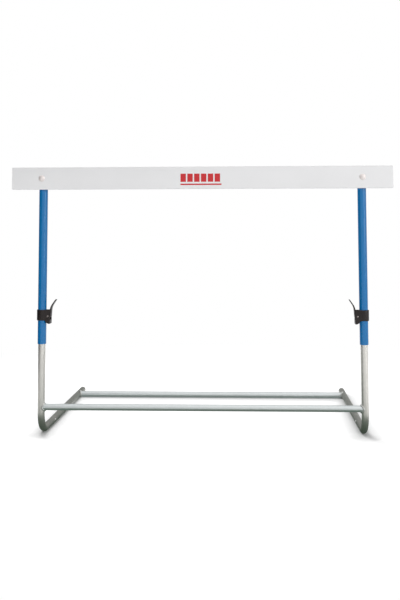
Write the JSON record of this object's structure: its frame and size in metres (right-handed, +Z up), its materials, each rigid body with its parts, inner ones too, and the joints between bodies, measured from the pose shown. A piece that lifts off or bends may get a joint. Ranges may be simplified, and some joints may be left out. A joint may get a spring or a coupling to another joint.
{
  "type": "track hurdle",
  "caption": "Adjustable training hurdle: a flat board on telescopic tubular uprights with lever clamps, standing on a welded tube base with long feet.",
  "frame": {"origin": "on the floor, below the middle of the whole hurdle's box", "axes": "+Z up; +X along the board, to the right of someone who faces the board's front; the board's front faces -Y, and the feet run back to +Y, the side from which the runner comes"},
  "size_m": [1.2, 0.7224, 0.838],
  "materials": {
    "blue_enamel": "satin",
    "zinc_tube": "satin",
    "weld_metal": "satin",
    "white_board": "satin",
    "black_nylon": "satin",
    "grey_plug": "matte",
    "natural_nylon": "satin",
    "bright_steel": "satin",
    "brake_rubber": "matte"
  },
  "bodies": {
    "base": {"left_base_tube": "zinc_tube", "right_base_tube": "zinc_tube", "left_guide_bush": "natural_nylon", "right_guide_bush": "natural_nylon", "left_foot_plug": "grey_plug", "right_foot_plug": "grey_plug", "left_foot_rivet": "bright_steel", "right_foot_rivet": "bright_steel", "front_cross_tube": "zinc_tube", "rear_cross_tube": "zinc_tube", "left_front_weld": "weld_metal", "right_front_weld": "weld_metal", "left_rear_weld": "weld_metal", "right_rear_weld": "weld_metal"},
    "upper": {"hurdle_board": "white_board", "left_upright_tube": "blue_enamel", "right_upright_tube": "blue_enamel", "left_top_cap": "black_nylon", "right_top_cap": "black_nylon", "left_board_bolt": "bright_steel", "right_board_bolt": "bright_steel", "left_saddle_washer": "black_nylon", "right_saddle_washer": "black_nylon", "left_flat_washer": "bright_steel", "right_flat_washer": "bright_steel", "left_board_nut": "bright_steel", "right_board_nut": "bright_steel", "left_clamp_collar": "black_nylon", "right_clamp_collar": "black_nylon", "left_collar_screw": "bright_steel", "right_collar_screw": "bright_steel", "left_clamp_pin": "bright_steel", "right_clamp_pin": "bright_steel"},
    "left_lever": {"left_clamp_lever": "black_nylon"},
    "right_lever": {"right_clamp_lever": "black_nylon"},
    "left_shoe": {"left_brake_shoe": "brake_rubber"},
    "right_shoe": {"right_brake_shoe": "brake_rubber"}
  },
  "joints": [
    {"name": "height_slide", "type": "slide", "parent": "base", "child": "upper", "axis": [0, 0, 1], "range_m": [-0.152, 0.229]},
    {"name": "left_lever_hinge", "type": "hinge", "parent": "upper", "child": "left_lever", "pos_m": [-0.4848, -0.3277, 0.3697], "axis": [0, 1, 0], "range_deg": [0, 100]},
    {"name": "right_lever_hinge", "type": "hinge", "parent": "upper", "child": "right_lever", "pos_m": [0.4848, -0.3277, 0.3697], "axis": [0, -1, 0], "range_deg": [0, 100]},
    {"name": "left_shoe_slide", "type": "slide", "parent": "upper", "child": "left_shoe", "axis": [1, 0, 0], "range_m": [0, 0.0006]},
    {"name": "right_shoe_slide", "type": "slide", "parent": "upper", "child": "right_shoe", "axis": [-1, 0, 0], "range_m": [0, 0.0006]}
  ],
  "couplings": [
    {"joint": "left_shoe_slide", "follows": "left_lever_hinge", "m_per_rad": 0.0003437},
    {"joint": "right_shoe_slide", "follows": "right_lever_hinge", "m_per_rad": 0.0003437}
  ]
}
